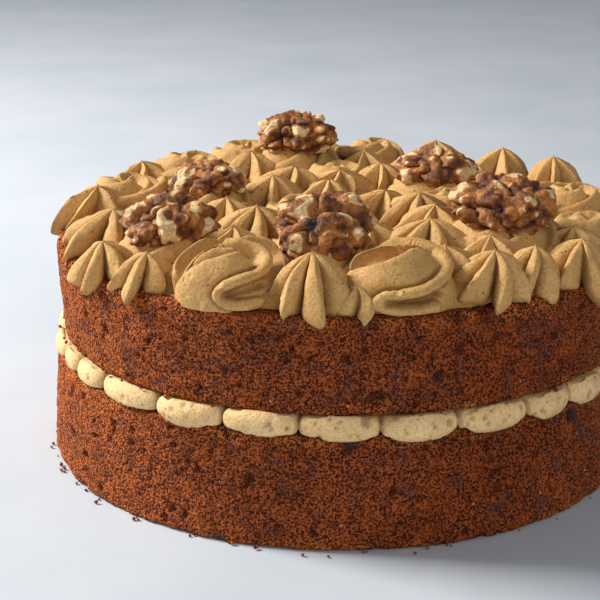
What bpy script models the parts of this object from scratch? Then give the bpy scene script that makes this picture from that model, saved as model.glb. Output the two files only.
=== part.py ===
"""Round coffee and walnut naked cake, standing on the floor with its axis on Z.

Two sponge layers are sandwiched by piped rounds of buttercream. The top is covered with piped
rosettes and stars of the same buttercream, and six walnut halves are pressed into it.
The front of the cake faces -Y. All sizes are in metres and all angles in degrees.
"""
import math
import random

import bmesh
import bpy
from mathutils import Matrix, Vector

# Sponge layers. The lower one tapers to its top, and the upper one is smaller, widens a little
# to its top and sits off the middle of the lower one, towards +X.
GAP = 0.0003
LOWER_TOP = 0.0360
LOWER_RADIUS_BOTTOM = 0.1000
LOWER_RADIUS_TOP = 0.0974
UPPER_BOTTOM = 0.0421
UPPER_TOP = 0.0728
UPPER_RADIUS_BOTTOM = 0.0965
UPPER_RADIUS_TOP = 0.0976
UPPER_SHIFT = 0.0015
EDGE_ROUND = 0.0015
EDGE_BEND = 0.3
SIDE_SEGMENTS = 52
SEAT_ROUND = 0.0008

# Slow bulges round a layer: how far they reach, and for each wave its count round the cake, its
# share of that reach and how much of the layer's own phase it takes.
BULGE = 0.00035
BULGE_WAVES = ((3, 0.45, 1.0), (7, 0.32, 2.3), (13, 0.23, 4.1))
BULGE_DRIFT = 0.8
LOWER_PHASE = 1.0
UPPER_PHASE = 2.0

# Filling: a disc between the layers with rounds of buttercream side by side along its rim. The
# bearings are those of the joins between the rounds at the front; the rest are evenly spread.
FRONT_JOINS = (-161.5, -152.8, -142.0, -126.5, -112.4, -98.2, -83.6, -69.3, -54.8, -43.8, -33.1)
BACK_ROUNDS = 17
FILLING_CORE_RADIUS = 0.0912
ROUND_CENTRE = 0.0953
ROUND_REACH = 0.0050
ROUND_HALF_HEIGHT = 0.0047
ROUND_DROP = 0.0004
ROUND_SWELL = (0.90, 1.10)
ROUND_USUAL_WIDTH = 13.5
ROUND_SQUARENESS = 2.6
ROUND_BLUNTNESS = 0.965
JOIN_REACH = 0.25
JOIN_HEIGHT = 0.30
PROFILE_TURN = 84
SPONGE_CLEARANCE = 0.0008
FILLING_SAMPLES = 4
FILLING_PROFILE = 5

# Base coat of buttercream under the piped pieces.
COAT_RADIUS = 0.0925
COAT_THICKNESS = 0.0070
COAT_EDGE_THICKNESS = 0.0020
COAT_EDGE_SLOPE = 0.0060
COAT_SEGMENTS = 32
SINK = 0.0005

# Rim where piped feet hang over the sponge.
DRAPE_RADIUS = 0.0950
DRAPE_SLOPE = 0.55

# Stars: x, y, radius, height above the sponge, turn of the first lobe, number of lobes and
# whether the flanks of the lobes are rounded.
STARS = (
    (-0.0740, -0.0530, 0.0135, 0.0115, 250, 6, True),
    (-0.0600, -0.0660, 0.0125, 0.0115, 232, 6, True),
    (-0.0085, -0.0865, 0.0155, 0.0175, 268, 7, True),
    (0.0060, -0.0900, 0.0090, 0.0085, 280, 5, True),
    (0.0460, -0.0750, 0.0150, 0.0155, 282, 7, True),
    (0.0575, -0.0680, 0.0130, 0.0145, 300, 6, True),
    (0.0740, -0.0570, 0.0150, 0.0140, 295, 7, True),
    (-0.0750, -0.0260, 0.0190, 0.0145, 150, 6, True),
    (0.0250, -0.0080, 0.0180, 0.0165, 250, 6, True),
    (-0.0020, 0.0280, 0.0180, 0.0165, 235, 6, False),
    (-0.0270, -0.0300, 0.0185, 0.0165, 260, 6, True),
    (0.0280, -0.0420, 0.0185, 0.0165, 275, 6, True),
    (0.0595, 0.0600, 0.0175, 0.0160, 260, 6, False),
    (0.0790, 0.0400, 0.0160, 0.0175, 245, 6, False),
    (0.0365, 0.0760, 0.0170, 0.0165, 250, 6, False),
)

# Rosettes: x, y, radius, height above the sponge, bearing where the rope ends and how many
# degrees of its last turn stand clear of the middle.
ROSETTES = (
    (-0.0335, -0.0740, 0.0195, 0.0175, 256, 200),
    (0.0180, -0.0762, 0.0200, 0.0175, 228, 210),
    (-0.0050, -0.0560, 0.0220, 0.0165, 250, 0),
    (-0.0530, -0.0420, 0.0215, 0.0150, 200, 0),
    (0.0530, -0.0340, 0.0245, 0.0165, 320, 0),
    (-0.0450, 0.0080, 0.0210, 0.0155, 230, 0),
    (0.0340, 0.0270, 0.0215, 0.0160, 250, 0),
    (-0.0170, 0.0670, 0.0220, 0.0170, 240, 0),
    (-0.0760, 0.0160, 0.0190, 0.0160, 190, 180),
    (-0.0570, 0.0540, 0.0190, 0.0155, 160, 180),
    (0.0800, 0.0080, 0.0180, 0.0155, 350, 180),
    (0.0120, 0.0810, 0.0165, 0.0155, 80, 180),
)
PETALS = 3
PETAL_SAMPLES = 5
PETAL_DEPTH = 0.30
PETAL_TWIST = 170
PETAL_RISES = (0.0, 0.16, 0.40, 0.64, 0.84, 0.96)
DOME_SHARE = 0.92
DOME_FOOT = 0.22
DOME_WIDEST = 0.30
DOME_SQUARENESS = 2.4
DOME_TOP = 0.97
TAIL_ROPE_SHARE = 0.42
TAIL_HEIGHT_SHARE = 0.38
TAIL_CRESTS = 4
TAIL_GROOVE = 0.60
TAIL_STEP = 24
TAIL_START = 0.45
TAIL_SWELL = 0.80
TAIL_CLOSES = 0.80
TAIL_END = 0.97
TAIL_FALL = 0.40

STAR_GROOVE = 0.50
STAR_FLANK = 0.21
PLAIN_GROOVE = 0.38
STAR_FOOT = 0.34
STAR_WIDEST = 0.22
STAR_SWELL = 1.90
STAR_SHOULDER = 0.10
STAR_FADE = 0.35
STAR_TWIST = 16
STAR_RISES = (0.0, 0.10, 0.38, 0.72)

# Plain stars that fill what is left between the others, on rings round the cake.
FILL_RINGS = (0.0840, 0.0620, 0.0380, 0.0130, 0.0730, 0.0500, 0.0260, 0.0030)
FILL_BEARING_STEP = 4
FILL_RADIUS = 0.0180
FILL_RADII = (0.94, 1.06)
FILL_HEIGHT = 0.0150
FILL_HEIGHTS = (0.88, 1.10)
FILL_SPACING = 0.46
FILL_LOBES = 6
RIM_ORBIT = 0.0800
BURIED_RISES = 2

# Edges steeper than this stay sharp.
CREST_ANGLE = 38

# Walnut halves: x, y, height of the centre, length, turn about Z, tip towards the front.
WALNUTS = (
    (-0.0050, -0.0595, 0.0895, 0.0330, 10, 26),
    (-0.0540, -0.0440, 0.0870, 0.0310, 25, 12),
    (-0.0460, 0.0080, 0.0870, 0.0270, 160, 6),
    (-0.0170, 0.0680, 0.0910, 0.0320, 5, 4),
    (0.0340, 0.0270, 0.0875, 0.0290, 170, 4),
    (0.0520, -0.0350, 0.0905, 0.0360, 150, 10),
)
WALNUT_WIDTH = 0.80
WALNUT_HEIGHT = 0.52
WALNUT_BELLY = 0.75
WALNUT_ENDS = 0.16
WALNUT_KNOBS = 0.10
WALNUT_FINE_KNOBS = 0.6
WALNUT_CREVICE = 0.26
CREVICE_WIDTH = 0.20
WALNUT_AROUND = 17
WALNUT_RINGS = 9
SEAT_CLEARANCE = 0.0007


def material(name, colour, roughness):
    """Matt food surface of one colour."""
    made = bpy.data.materials.new(name)
    made.use_nodes = True
    shader = made.node_tree.nodes["Principled BSDF"]
    shader.inputs["Base Color"].default_value = (*colour, 1.0)
    shader.inputs["Roughness"].default_value = roughness
    shader.inputs["Metallic"].default_value = 0.0
    made.diffuse_color = (*colour, 1.0)
    return made


def new_object(name, mesh_builder, surface, collection=None):
    """Object from a filled bmesh, shaded smooth."""
    mesh = bpy.data.meshes.new(name)
    mesh_builder.to_mesh(mesh)
    mesh_builder.free()
    mesh.shade_smooth()
    if surface:
        mesh.materials.append(surface)
    made = bpy.data.objects.new(name, mesh)
    (collection or bpy.context.scene.collection).objects.link(made)
    return made


def loft(rings, start_point=None, end_point=None):
    """Closed skin over rings of points, each end closed by a fan to a point or by a flat face.

    The rings turn anticlockwise as seen from where the last one lies, so the faces point out.
    """
    skin = bmesh.new()
    loops = [[skin.verts.new(point) for point in ring] for ring in rings]
    count = len(loops[0])
    for lower, upper in zip(loops, loops[1:]):
        for i in range(count):
            j = (i + 1) % count
            skin.faces.new((lower[i], lower[j], upper[j], upper[i]))
    for loop, point in ((loops[0][::-1], start_point), (loops[-1], end_point)):
        if point is None:
            skin.faces.new(loop)
            continue
        centre = skin.verts.new(point)
        for i in range(count):
            skin.faces.new((loop[i], loop[(i + 1) % count], centre))
    return skin


def bulge(angle, phase):
    """How far the side of a layer bulges at an angle."""
    return BULGE * sum(share * math.sin(count * angle + take * phase)
                       for count, share, take in BULGE_WAVES)


def sponge(bottom, top, radius_bottom, radius_top, round_bottom, phase, shift=0.0, grow=0.0):
    """One baked layer: a tapered disc with rounded edges, made larger all round by grow."""
    heights = (
        (bottom - grow, -round_bottom),
        (bottom - grow + round_bottom * EDGE_BEND, -round_bottom * EDGE_BEND),
        (bottom - grow + round_bottom, 0.0),
        ((bottom + top) / 2, 0.0),
        (top + grow - EDGE_ROUND, 0.0),
        (top + grow - EDGE_ROUND * EDGE_BEND, -EDGE_ROUND * EDGE_BEND),
        (top + grow, -EDGE_ROUND),
    )
    rings = []
    for height, inset in heights:
        share = (height - bottom) / (top - bottom)
        radius = radius_bottom + (radius_top - radius_bottom) * share + inset + grow
        ring = []
        for i in range(SIDE_SEGMENTS):
            angle = math.tau * i / SIDE_SEGMENTS
            reach = radius + bulge(angle + BULGE_DRIFT * share, phase)
            ring.append((shift + reach * math.cos(angle), reach * math.sin(angle), height))
        rings.append(ring)
    return loft(rings)


def filling_joins():
    """Bearings of all the joins between the rounds of the filling, once round the cake."""
    behind = 360 + FRONT_JOINS[0] - FRONT_JOINS[-1]
    return FRONT_JOINS + tuple(FRONT_JOINS[-1] + behind * (k + 1) / BACK_ROUNDS
                               for k in range(BACK_ROUNDS))


def filling():
    """Disc of buttercream whose rim swells into rounds that squeeze out past the sponge."""
    chooser = random.Random(11)
    floor = LOWER_TOP + GAP
    ceiling = UPPER_BOTTOM - GAP
    middle = (floor + ceiling) / 2 - ROUND_DROP
    joins = filling_joins()
    rings = []
    for left, right in zip(joins, joins[1:]):
        swell = chooser.uniform(*ROUND_SWELL)
        swell *= math.sqrt(min(1.0, (right - left) / ROUND_USUAL_WIDTH))
        for i in range(FILLING_SAMPLES):
            across = 2 * i / FILLING_SAMPLES - 1
            angle = math.radians(left + (right - left) * i / FILLING_SAMPLES)
            fullness = math.sqrt(1 - abs(ROUND_BLUNTNESS * across) ** ROUND_SQUARENESS)
            reach = ROUND_REACH * swell * (JOIN_REACH + (1 - JOIN_REACH) * fullness)
            half = ROUND_HALF_HEIGHT * (JOIN_HEIGHT + (1 - JOIN_HEIGHT) * fullness)
            section = [(FILLING_CORE_RADIUS, floor)]
            for m in range(FILLING_PROFILE):
                turn = math.radians(PROFILE_TURN * (2 * m / (FILLING_PROFILE - 1) - 1))
                section.append((ROUND_CENTRE + reach * math.cos(turn),
                                middle + half * math.sin(turn)))
            section.append((FILLING_CORE_RADIUS, ceiling))
            ring = []
            for radius, height in section:
                x = UPPER_SHIFT + radius * math.cos(angle)
                y = radius * math.sin(angle)
                if math.hypot(x, y) < LOWER_RADIUS_TOP + SPONGE_CLEARANCE:
                    height = max(height, floor)
                if radius < UPPER_RADIUS_BOTTOM + SPONGE_CLEARANCE:
                    height = min(height, ceiling)
                ring.append((x, y, height))
            rings.append(ring)
    skin = bmesh.new()
    loops = [[skin.verts.new(point) for point in ring] for ring in rings]
    for n, loop in enumerate(loops):
        following = loops[(n + 1) % len(loops)]
        for i in range(len(loop) - 1):
            skin.faces.new((loop[i], following[i], following[i + 1], loop[i + 1]))
    skin.faces.new([loop[0] for loop in reversed(loops)])
    skin.faces.new([loop[-1] for loop in loops])
    return skin


def drape(point):
    """Lets what reaches past the rim of the cake sag down its side."""
    beyond = math.hypot(point[0] - UPPER_SHIFT, point[1]) - DRAPE_RADIUS
    if beyond <= 0:
        return point
    return (point[0], point[1], point[2] - DRAPE_SLOPE * beyond)


def star(x, y, radius, height, turn, lobes, flanks):
    """Piped star: lobes with sharp crests and deep grooves that draw together at a peak.

    Inside the rim the feet are buried in the base coat and left out.
    """
    outline = (0.0, STAR_FLANK, STAR_GROOVE, STAR_FLANK) if flanks else (0.0, PLAIN_GROOVE)
    count = len(outline) * lobes
    rings = []
    buried = BURIED_RISES if math.hypot(x, y) < RIM_ORBIT - radius / 2 else 0
    for rise in STAR_RISES[buried:]:
        foot = 1 - STAR_FOOT * (1 - min(1.0, rise / STAR_WIDEST)) ** 2
        body = 1 - max(0.0, (rise - STAR_SHOULDER) / (1 - STAR_SHOULDER)) ** STAR_SWELL
        level = UPPER_TOP - SINK + height * rise
        ring = []
        for i in range(count):
            angle = math.radians(turn + STAR_TWIST * rise) + math.tau * i / count
            hollow = outline[i % len(outline)] * (1 - STAR_FADE * rise)
            reach = radius * foot * body * (1 - hollow)
            ring.append(drape((x + reach * math.cos(angle), y + reach * math.sin(angle), level)))
        rings.append(ring)
    return loft(rings, end_point=drape((x, y, UPPER_TOP + height)))


def rosette_dome(x, y, radius, height, end):
    """Middle of a rosette: petals that wind up to its top, each with a lip over the next one."""
    count = PETALS * PETAL_SAMPLES
    rings = []
    for rise in PETAL_RISES:
        foot = 1 - DOME_FOOT * (1 - min(1.0, rise / DOME_WIDEST)) ** 2
        body = math.sqrt(1 - rise ** DOME_SQUARENESS)
        level = UPPER_TOP - SINK + height * rise
        ring = []
        for i in range(count):
            angle = math.radians(end + PETAL_TWIST * rise) + math.tau * i / count
            hollow = PETAL_DEPTH * (i % PETAL_SAMPLES) / (PETAL_SAMPLES - 1)
            reach = radius * DOME_SHARE * foot * body * (1 - hollow)
            ring.append(drape((x + reach * math.cos(angle), y + reach * math.sin(angle), level)))
        rings.append(ring)
    return loft(rings, end_point=(x, y, UPPER_TOP + height * DOME_TOP))


def rosette_tail(x, y, radius, height, end, sweep):
    """Last stretch of a rosette's ridged rope, clockwise round its middle to a folded end."""
    rope = radius * TAIL_ROPE_SHARE
    half_height = height * TAIL_HEIGHT_SHARE
    orbit = radius - rope * math.cos(math.pi / TAIL_CRESTS)
    steps = round(sweep / TAIL_STEP)
    rings = []
    for k in range(steps + 1):
        run = k / steps
        bearing = math.radians(end + sweep * (1 - run))
        out = Vector((math.cos(bearing), math.sin(bearing), 0))
        closing = max(0.0, (run - TAIL_CLOSES) / (1 - TAIL_CLOSES))
        girth = min(1.0, TAIL_START + TAIL_SWELL * run) * math.sqrt(1 - TAIL_END * closing ** 2)
        level = UPPER_TOP + half_height * (TAIL_SWELL + TAIL_FALL * (1 - run))
        ring = []
        for i in range(2 * TAIL_CRESTS):
            angle = math.pi * (i + 1) / TAIL_CRESTS
            reach = girth * (1 if i % 2 == 0 else 1 - TAIL_GROOVE)
            side = out * (orbit + rope * reach * math.cos(angle))
            ring.append(drape((x + side.x, y + side.y,
                               level + half_height * reach * math.sin(angle))))
        rings.append(ring)
    return loft(rings)


def fill_stars():
    """Places for plain stars, wherever the others leave room for one."""
    chooser = random.Random(5)
    taken = [values[:3] for values in STARS + ROSETTES]
    added = []
    for orbit in FILL_RINGS:
        for bearing in range(0, 360, FILL_BEARING_STEP):
            x = orbit * math.cos(math.radians(bearing))
            y = orbit * math.sin(math.radians(bearing))
            spacing = min(math.hypot(x - u, y - v) / (FILL_RADIUS + r) for u, v, r in taken)
            if spacing < FILL_SPACING:
                continue
            taken.append((x, y, FILL_RADIUS))
            added.append((x, y, FILL_RADIUS * chooser.uniform(*FILL_RADII),
                          FILL_HEIGHT * chooser.uniform(*FILL_HEIGHTS),
                          chooser.uniform(0, 360), FILL_LOBES, False))
    return added


def walnut_point(around, rise, length, seed):
    """Point on a walnut half about its own centre; around and rise are angles in radians."""
    flat = math.cos(rise)
    outline = 1 - WALNUT_ENDS * abs(math.cos(around)) ** 8 * flat
    knobs = math.sin(5 * around + seed) * math.cos(3.2 * rise + 0.7 * seed)
    knobs += WALNUT_FINE_KNOBS * math.sin(3 * around + 2.1 * seed + 4 * rise) * flat
    aside = math.sin(around) * flat
    crevice = math.exp(-(aside / CREVICE_WIDTH) ** 2) * max(0.0, math.sin(rise))
    size = length / 2 * (outline + WALNUT_KNOBS * knobs - WALNUT_CREVICE * crevice)
    return Vector((
        size * flat * math.cos(around),
        size * flat * math.sin(around) * WALNUT_WIDTH,
        size * math.sin(rise) * WALNUT_HEIGHT * (1.0 if rise > 0 else WALNUT_BELLY),
    ))


def walnut(x, y, z, length, turn, tip, seed, grow=0.0):
    """Walnut half with two wings of brain-like folds, tipped and turned where it was pressed in."""
    place = (Matrix.Translation((x, y, z)) @ Matrix.Rotation(math.radians(tip), 4, "X")
             @ Matrix.Rotation(math.radians(turn), 4, "Z"))
    stretch = 1 + 2 * grow / length

    def placed(around, rise):
        return place @ (walnut_point(around, rise, length, seed) * stretch)

    rings = []
    for k in range(1, WALNUT_RINGS):
        rise = math.pi * (k / WALNUT_RINGS - 0.5)
        rings.append([placed(math.tau * i / WALNUT_AROUND, rise) for i in range(WALNUT_AROUND)])
    return loft(rings, placed(0, -math.pi / 2), placed(0, math.pi / 2))


def walnut_seat(*values, seed):
    """Rounded hollow that a walnut half presses into the buttercream."""
    hollow = walnut(*values, seed=seed, grow=SEAT_CLEARANCE)
    hull = bmesh.ops.convex_hull(hollow, input=hollow.verts)
    bmesh.ops.delete(hollow, geom=hull["geom_interior"], context="VERTS")
    outside = {item for item in hull["geom"] if isinstance(item, bmesh.types.BMFace)}
    bmesh.ops.delete(hollow, geom=[f for f in hollow.faces if f not in outside], context="FACES")
    return hollow


def apply_modifiers(target):
    """Bakes the object's modifiers into its mesh."""
    graph = bpy.context.evaluated_depsgraph_get()
    target.data = bpy.data.meshes.new_from_object(target.evaluated_get(graph))
    target.modifiers.clear()


def boolean(target, operation, cutter=None, collection=None):
    """Adds or cuts away an object, or a whole collection of them, and removes what was used."""
    joint = target.modifiers.new(operation, "BOOLEAN")
    joint.operation = operation
    joint.solver = "MANIFOLD"
    if cutter:
        joint.object = cutter
        used = [cutter]
    else:
        joint.operand_type = "COLLECTION"
        joint.collection = collection
        used = list(collection.objects)
    apply_modifiers(target)
    for item in used:
        bpy.data.objects.remove(item, do_unlink=True)
    if collection:
        bpy.data.collections.remove(collection)


def keep_largest(target):
    """Leaves only the largest closed skin, so that scraps go and sealed hollows are filled."""
    whole = bmesh.new()
    whole.from_mesh(target.data)
    unseen = set(whole.verts)
    skins = []
    while unseen:
        front = [unseen.pop()]
        skin = set(front)
        while front:
            for edge in front.pop().link_edges:
                for vertex in edge.verts:
                    if vertex in unseen:
                        unseen.remove(vertex)
                        skin.add(vertex)
                        front.append(vertex)
        skins.append(skin)
    skins.sort(key=len)
    for skin in skins[:-1]:
        bmesh.ops.delete(whole, geom=list(skin), context="VERTS")
    whole.to_mesh(target.data)
    whole.free()


def topping(surface):
    """Base coat with all the piped pieces fused to it, cut clear of the sponge and the walnuts."""
    pieces = bpy.data.collections.new("piped")
    bpy.context.scene.collection.children.link(pieces)
    for n, values in enumerate([*STARS, *fill_stars()]):
        new_object(f"star_{n}", star(*values), surface, pieces)
    for n, values in enumerate(ROSETTES):
        new_object(f"rosette_{n}", rosette_dome(*values[:5]), surface, pieces)
        if values[5]:
            new_object(f"tail_{n}", rosette_tail(*values), surface, pieces)
    outline = ((COAT_RADIUS, UPPER_TOP - SINK),
               (COAT_RADIUS, UPPER_TOP + COAT_EDGE_THICKNESS),
               (COAT_RADIUS - COAT_EDGE_SLOPE, UPPER_TOP + COAT_THICKNESS))
    bearings = [math.tau * i / COAT_SEGMENTS for i in range(COAT_SEGMENTS)]
    rings = [[(UPPER_SHIFT + radius * math.cos(bearing), radius * math.sin(bearing), level)
              for bearing in bearings] for radius, level in outline]
    coat = new_object("topping", loft(rings), surface)
    boolean(coat, "UNION", collection=pieces)
    body = sponge(UPPER_BOTTOM, UPPER_TOP, UPPER_RADIUS_BOTTOM, UPPER_RADIUS_TOP,
                  SEAT_ROUND, UPPER_PHASE, UPPER_SHIFT, GAP)
    boolean(coat, "DIFFERENCE", cutter=new_object("sponge_clearance", body, None))
    for n, values in enumerate(WALNUTS):
        seat = new_object(f"seat_{n}", walnut_seat(*values, seed=n + 1.0), None)
        boolean(coat, "DIFFERENCE", cutter=seat)
    keep_largest(coat)
    coat.data.set_sharp_from_angle(angle=math.radians(CREST_ANGLE))


for old in list(bpy.data.objects):
    bpy.data.objects.remove(old, do_unlink=True)

LOWER_SURFACE = material("sponge_crumb_lower", (0.26, 0.085, 0.030), 0.9)
UPPER_SURFACE = material("sponge_crumb_upper", (0.26, 0.085, 0.030), 0.9)
FILLING_SURFACE = material("filling_buttercream", (0.62, 0.43, 0.23), 0.55)
TOPPING_SURFACE = material("topping_buttercream", (0.56, 0.35, 0.15), 0.55)
NUT_SURFACE = material("walnut_kernel", (0.22, 0.09, 0.035), 0.5)

new_object("sponge_lower",
           sponge(0.0, LOWER_TOP, LOWER_RADIUS_BOTTOM, LOWER_RADIUS_TOP, EDGE_ROUND,
                  LOWER_PHASE),
           LOWER_SURFACE)
new_object("filling", filling(), FILLING_SURFACE)
new_object("sponge_upper",
           sponge(UPPER_BOTTOM, UPPER_TOP, UPPER_RADIUS_BOTTOM, UPPER_RADIUS_TOP,
                  SEAT_ROUND, UPPER_PHASE, UPPER_SHIFT),
           UPPER_SURFACE)
topping(TOPPING_SURFACE)
for number, nut in enumerate(WALNUTS):
    new_object(f"walnut_{number + 1}", walnut(*nut, seed=number + 1.0), NUT_SURFACE)
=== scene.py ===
import itertools
import math
import random

import bpy
import numpy as np
from mathutils import Matrix, Vector


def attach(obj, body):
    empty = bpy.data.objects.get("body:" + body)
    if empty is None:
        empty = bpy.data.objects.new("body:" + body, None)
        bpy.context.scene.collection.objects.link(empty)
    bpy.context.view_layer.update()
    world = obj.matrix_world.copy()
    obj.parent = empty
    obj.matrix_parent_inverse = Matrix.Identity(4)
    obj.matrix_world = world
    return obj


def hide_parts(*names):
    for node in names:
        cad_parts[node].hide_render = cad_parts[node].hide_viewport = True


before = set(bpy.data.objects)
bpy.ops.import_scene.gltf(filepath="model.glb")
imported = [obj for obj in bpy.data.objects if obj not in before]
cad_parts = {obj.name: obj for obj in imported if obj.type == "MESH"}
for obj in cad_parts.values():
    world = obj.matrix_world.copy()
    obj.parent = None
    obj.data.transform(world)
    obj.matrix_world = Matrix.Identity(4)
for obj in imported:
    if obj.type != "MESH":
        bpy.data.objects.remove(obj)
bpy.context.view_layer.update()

# Millimetres in a metre, and the gap between a sponge layer and the buttercream on it.
MILLIMETRES = 1000
GAP = 0.0003

# Sponge layers. The lower one tapers to its top, and the upper one is smaller, widens a little
# to its top and sits off the middle of the lower one, towards +X.
LOWER_TOP = 0.0360
LOWER_RADIUS_BOTTOM = 0.1000
LOWER_RADIUS_TOP = 0.0974
UPPER_BOTTOM = 0.0421
UPPER_TOP = 0.0728
UPPER_RADIUS_BOTTOM = 0.0965
UPPER_RADIUS_TOP = 0.0976
UPPER_SHIFT = 0.0015
EDGE_ROUND = 0.0015
BULGE = 0.00035
BULGE_WAVES = ((3, 0.45, 1.0), (7, 0.32, 2.3), (13, 0.23, 4.1))
BULGE_DRIFT = 0.8
LOWER_PHASE = 1.0
UPPER_PHASE = 2.0

# Open crumb: points round a layer, the height of a row and insets of the rings on its faces. Holes
# have a cell, the share of cells with one and a depth; grain, lumps, waves and warp have a size and
# a height. Edges are worn so far in and so deep, in places of a size that a second number widens.
# The relief ends so far in round an edge and on a face. The painted shades say how much painted
# shade darkens small holes and large holes, lessens on raised grain and darkens worn places.
CRUMB_COLUMNS = 1128
CRUMB_ROW = 0.00056
CAP_INSETS = (0.0030, 0.0070, 0.0150)
SMALL_HOLES = (0.0012, 0.40, 0.00050)
LARGE_HOLES = (0.0030, 0.22, 0.00105)
WORN_EDGE = 0.0028
WEAR_DEPTH = 0.0012
WORN_PLACES = (0.0055, 0.15)
CRUMB_GRAIN = (0.0011, 0.00022)
CRUMB_LUMPS = (0.0042, 0.00024)
CRUMB_WAVES = (0.019, 0.00035)
HOLE_WARP = (0.0018, 0.0006)
RELIEF_ENDS = (0.004, 0.02)
PAINTED_SHADE_SHARES = (0.8, 1.0, -0.25, 0.5)

# Round hollows: least radius and what is added to it, in cells, and depth for the radius.
PIT_RADIUS = (0.22, 0.40)
PIT_DEPTH = 2.2

# Seeds of the random draws. Other fields of unevenness use the seeds that stand beside them.
CRUMB_SEED = 3
FILL_SEED = 5
FILLING_SEED = 11
WALNUT_SEED = 17
TOPPING_SEED = 23

# Loose crumbs: how many lie round the foot, on the filling and on the rim, their sizes, the corners
# of their rings with how steeply these look up, and how far crumbs lie from the foot and how high
# above the floor and a ledge.
FOOT_CRUMBS = 90
FILLING_CRUMBS = 90
RIM_CRUMBS = 200
CRUMB_SIZES = (0.00030, 0.00095)
SIZE_SHARES = (0.6, 1.0)
CRUMB_CORNERS = 5
CRUMB_RISES = (-48, 4, 52)
CORNER_STRAY = 0.3
RISE_STRAY = 14
CORNER_REACH = (0.65, 1.25)
CRUMB_FLATNESS = 0.8
FOOT_SPREAD = (0.0002, 0.0036)
FLOOR_REST = 0.9
LEDGE_REST = (-0.3, 0.6)

# Filling: bearings of the joins between its rounds at the front, and how many rounds there are
# behind them. Then the shape of a round, what is left of its reach and its height at a join, the
# width of the painted shade in the crease there for that of the round, and how finely the filling
# is divided.
FRONT_JOINS = (-161.5, -152.8, -142.0, -126.5, -112.4, -98.2, -83.6, -69.3, -54.8, -43.8, -33.1)
BACK_ROUNDS = 17
FILLING_CORE_RADIUS = 0.0912
ROUND_CENTRE = 0.0953
ROUND_REACH = 0.0050
ROUND_HALF_HEIGHT = 0.0052
ROUND_DROP = 0.0007
ROUND_SWELL = (0.90, 1.10)
ROUND_USUAL_WIDTH = 13.5
ROUND_SQUARENESS = 2.3
ROUND_BLUNTNESS = 0.998
ROUND_LIFT = 0.0003
ROUND_SKEW = 0.16
JOIN_REACH = 0.02
JOIN_HEIGHT = 0.12
JOIN_SHARE = 0.11
PROFILE_TURN = 84
SPONGE_CLEARANCE = 0.0009
FILLING_SAMPLES = 38
FILLING_PROFILE = 22

# Surface of the filling: cell, share and depth of large and small air holes, how much drag lines
# are drawn out round the cake and upwards, size and height of these lines, of waves and of grain,
# and over what distance the relief starts outside the lower layer.
FILLING_BUBBLES = (0.0036, 0.30, 0.0006)
FILLING_DOTS = (0.0019, 0.40, 0.0005)
DRAG_STRETCH = (0.1, 0.05)
DRAG_LINES = (0.0011, 0.00009)
FILLING_WAVES = (0.006, 0.00022)
FILLING_GRAIN = (0.0016, 0.00006)
RELIEF_START = (0.001, 0.002)

# Unevenness of piped buttercream: size and depth of dents and of grain, and cell, share and depth
# of its air holes. Piped pieces start a little below the top of the sponge.
CREAM_DENTS = (0.0055, 0.00028)
CREAM_GRAIN = (0.0019, 0.00014)
CREAM_HOLES = (0.0030, 0.20, 0.00045)
SUNK = 0.0005

# Base coat under the piped pieces: its size, how finely it is divided, size and height of furrows
# and ripples, the drop at its edge with where that starts and how far it goes, and how much painted
# shade darkens it all over, as it shows only in the gaps between the pieces.
COAT_RADIUS = 0.0922
COAT_THICKNESS = 0.0048
COAT_AROUND = 220
COAT_RINGS = 64
COAT_START = 0.02
COAT_FURROWS = (0.010, 0.0016)
COAT_RIPPLES = (0.004, 0.0008)
COAT_DROP = (0.0055, 0.93, 0.07)
PAINTED_COAT_SHADE = 0.6

# Rim where piped feet hang over the sponge.
DRAPE_RADIUS = 0.0950
DRAPE_SLOPE = 0.55

# Stars: x, y, radius, height above the sponge, turn of the first blade, number of blades and
# whether they have flat facets instead of being thin sails.
STARS = (
    (-0.0740, -0.0530, 0.0135, 0.0115, 250, 6, True),
    (-0.0600, -0.0660, 0.0125, 0.0115, 232, 6, True),
    (-0.0085, -0.0865, 0.0155, 0.0175, 268, 7, True),
    (0.0060, -0.0900, 0.0090, 0.0085, 280, 5, True),
    (0.0460, -0.0750, 0.0150, 0.0155, 282, 7, True),
    (0.0575, -0.0680, 0.0130, 0.0145, 300, 6, True),
    (0.0740, -0.0570, 0.0150, 0.0140, 295, 7, True),
    (-0.0750, -0.0260, 0.0190, 0.0145, 150, 6, True),
    (0.0250, -0.0080, 0.0180, 0.0165, 250, 6, True),
    (-0.0020, 0.0280, 0.0180, 0.0165, 235, 6, False),
    (-0.0270, -0.0300, 0.0185, 0.0165, 260, 6, True),
    (0.0280, -0.0420, 0.0185, 0.0165, 275, 6, True),
    (0.0595, 0.0600, 0.0175, 0.0160, 260, 6, False),
    (0.0790, 0.0400, 0.0160, 0.0175, 245, 6, False),
    (0.0365, 0.0760, 0.0170, 0.0165, 250, 6, False),
)

# How finely placed and plain stars are divided, across a blade and upwards. A blade has flat facets
# with a narrow cleft beside them, or is a thin sail. The body is part dome and part spike over a foot
# that draws in. Blades twist, lean, differ in reach, stray at foot and tip, and sag.
STAR_DETAIL = (18, 26)
FILL_DETAIL = (14, 22)
STAR_LEVELS = (0.3, 0.975)
STAR_FACET = 0.44
STAR_CLEFT = 0.38
CLEFT_START = 0.64
# How much the painted shade in the clefts fades upwards.
CLEFT_SHADE_FADE = 0.5
SAIL_DEPTH = 0.74
SAIL_BEND = 0.72
STAR_FOOT = 0.34
STAR_WIDEST = 0.26
STAR_DOME = 0.64
STAR_NECK = 0.96
STAR_SQUARENESS = (2.8, 0.65)
SPIKE_BEND = 0.8
STAR_FADE = 0.15
STAR_TWIST = (0, 40)
STAR_LEAN = 9
LEAN_SHARES = (0.4, 1.4)
LEAN_START = 0.25
BLADE_REACH = (0.96, 0.10, 1.08)
BLADE_STRAY = 8
TIP_STRAY = 0.0015
BLADE_SAG = 0.0016

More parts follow.
